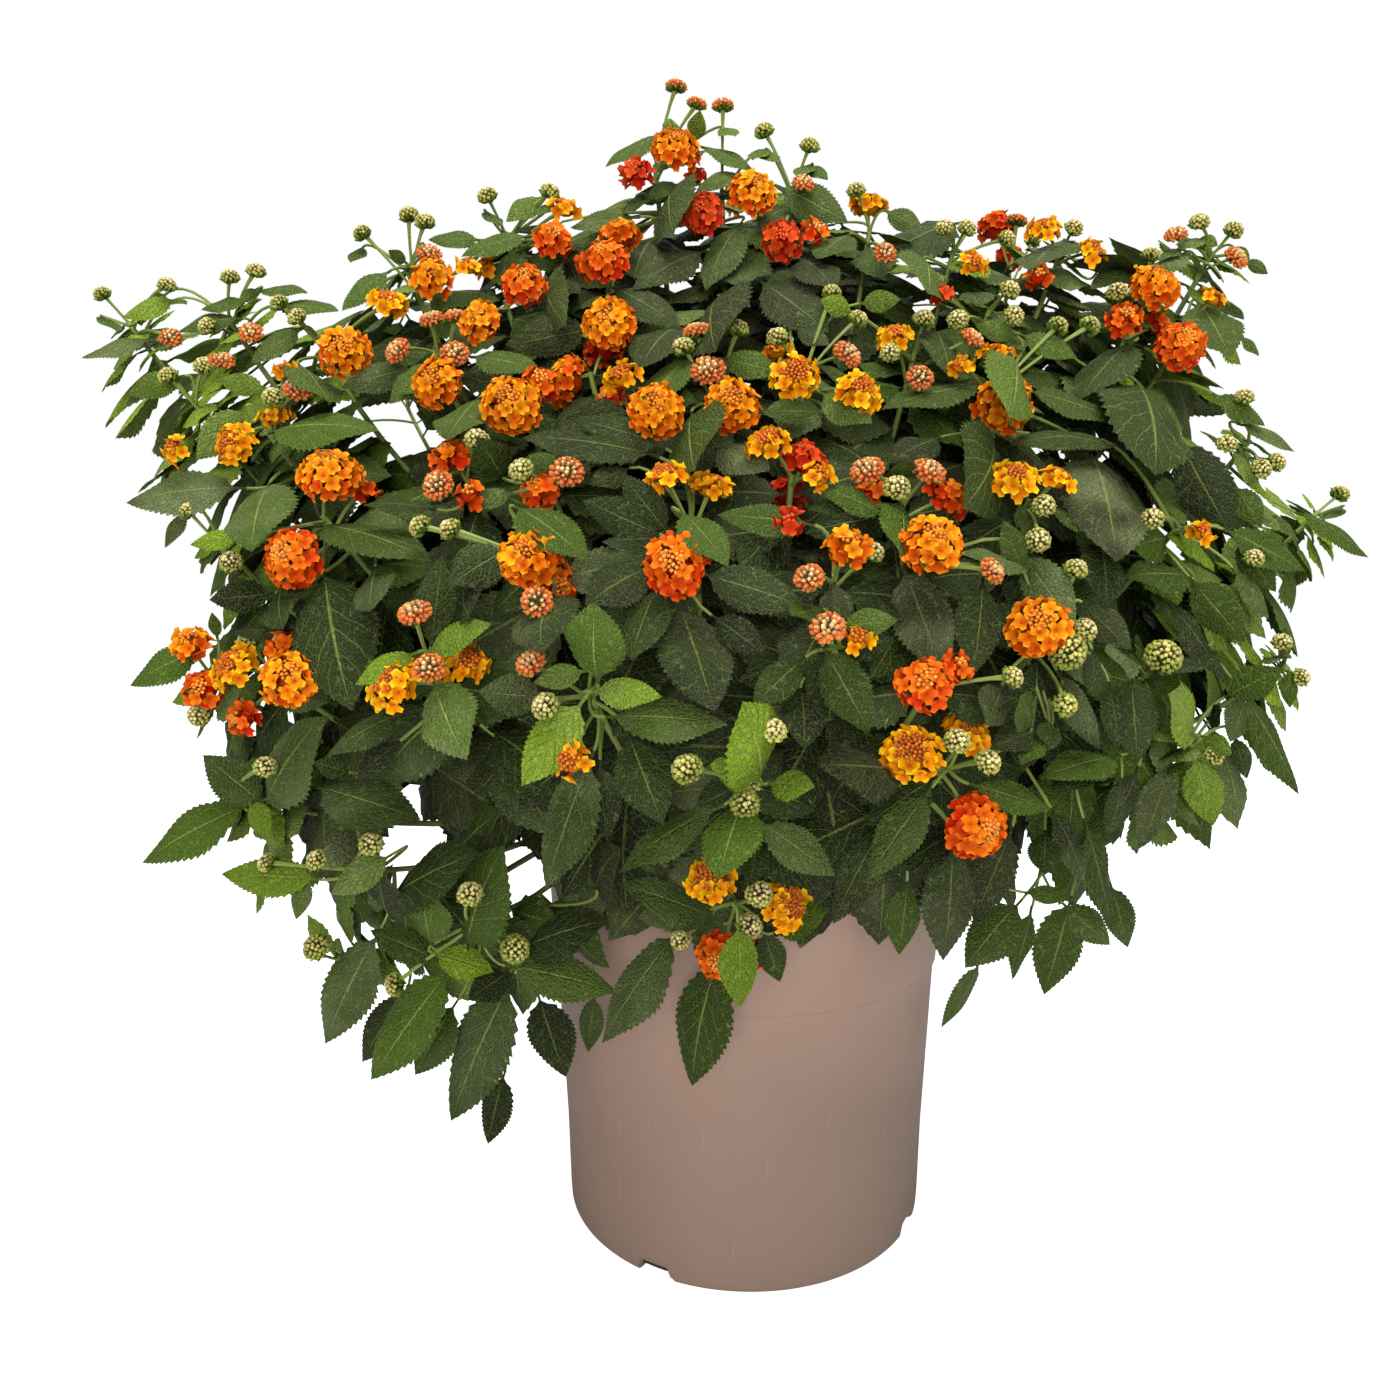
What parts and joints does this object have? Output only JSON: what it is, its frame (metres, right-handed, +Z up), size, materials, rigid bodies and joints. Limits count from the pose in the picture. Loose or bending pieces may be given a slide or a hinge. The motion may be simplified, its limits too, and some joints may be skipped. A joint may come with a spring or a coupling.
{
  "type": "flowering lantana bush in a plastic pot",
  "caption": "Bushy lantana with hanging toothed leaves and round heads of yellow, orange and red florets, growing in a round tapered plastic nursery pot.",
  "frame": {"origin": "centre of the pot's underside, where it stands on the ground", "axes": "+Z up along the pot's axis; -Y towards the side the bush is seen from, +X to that view's right"},
  "size_m": [0.8698, 0.6349, 0.7651],
  "materials": {
    "pot_plastic": "matt taupe, slightly scuffed",
    "potting_mix": "dark, crumbly, dull",
    "foliage": "rough, quilted, matt green",
    "blooms": "velvety, matt"
  },
  "bodies": {
    "root": {"pot": "pot_plastic", "soil": "potting_mix", "crown_branch_1": "foliage", "crown_branch_2": "foliage", "crown_branch_3": "foliage", "crown_branch_4": "foliage", "crown_branch_5": "foliage", "skirt_branch_1": "foliage", "skirt_branch_2": "foliage", "skirt_branch_3": "foliage", "skirt_branch_4": "foliage", "skirt_branch_5": "foliage", "skirt_branch_6": "foliage", "skirt_branch_7": "foliage", "skirt_branch_8": "foliage", "flower_spray_1": "blooms", "flower_spray_2": "blooms", "flower_spray_3": "blooms", "flower_spray_4": "blooms", "flower_spray_5": "blooms", "flower_spray_6": "blooms", "flower_spray_7": "blooms", "flower_spray_8": "blooms", "flower_spray_9": "blooms", "flower_spray_10": "blooms", "flower_spray_11": "blooms", "flower_spray_12": "blooms", "flower_spray_13": "blooms", "flower_spray_14": "blooms", "flower_spray_15": "blooms", "flower_spray_16": "blooms", "flower_spray_17": "blooms", "flower_spray_18": "blooms", "flower_spray_19": "blooms", "flower_spray_20": "blooms", "flower_spray_21": "blooms", "flower_spray_22": "blooms", "flower_spray_23": "blooms", "flower_spray_24": "blooms", "flower_spray_25": "blooms", "flower_spray_26": "blooms", "flower_spray_27": "blooms", "flower_spray_28": "blooms", "flower_spray_29": "blooms", "flower_spray_30": "blooms", "flower_spray_31": "blooms", "flower_spray_32": "blooms", "flower_spray_33": "blooms", "flower_spray_34": "blooms", "flower_spray_35": "blooms", "flower_spray_36": "blooms", "flower_spray_37": "blooms", "flower_spray_38": "blooms", "flower_spray_39": "blooms", "flower_spray_40": "blooms", "flower_spray_41": "blooms"}
  },
  "joints": []
}
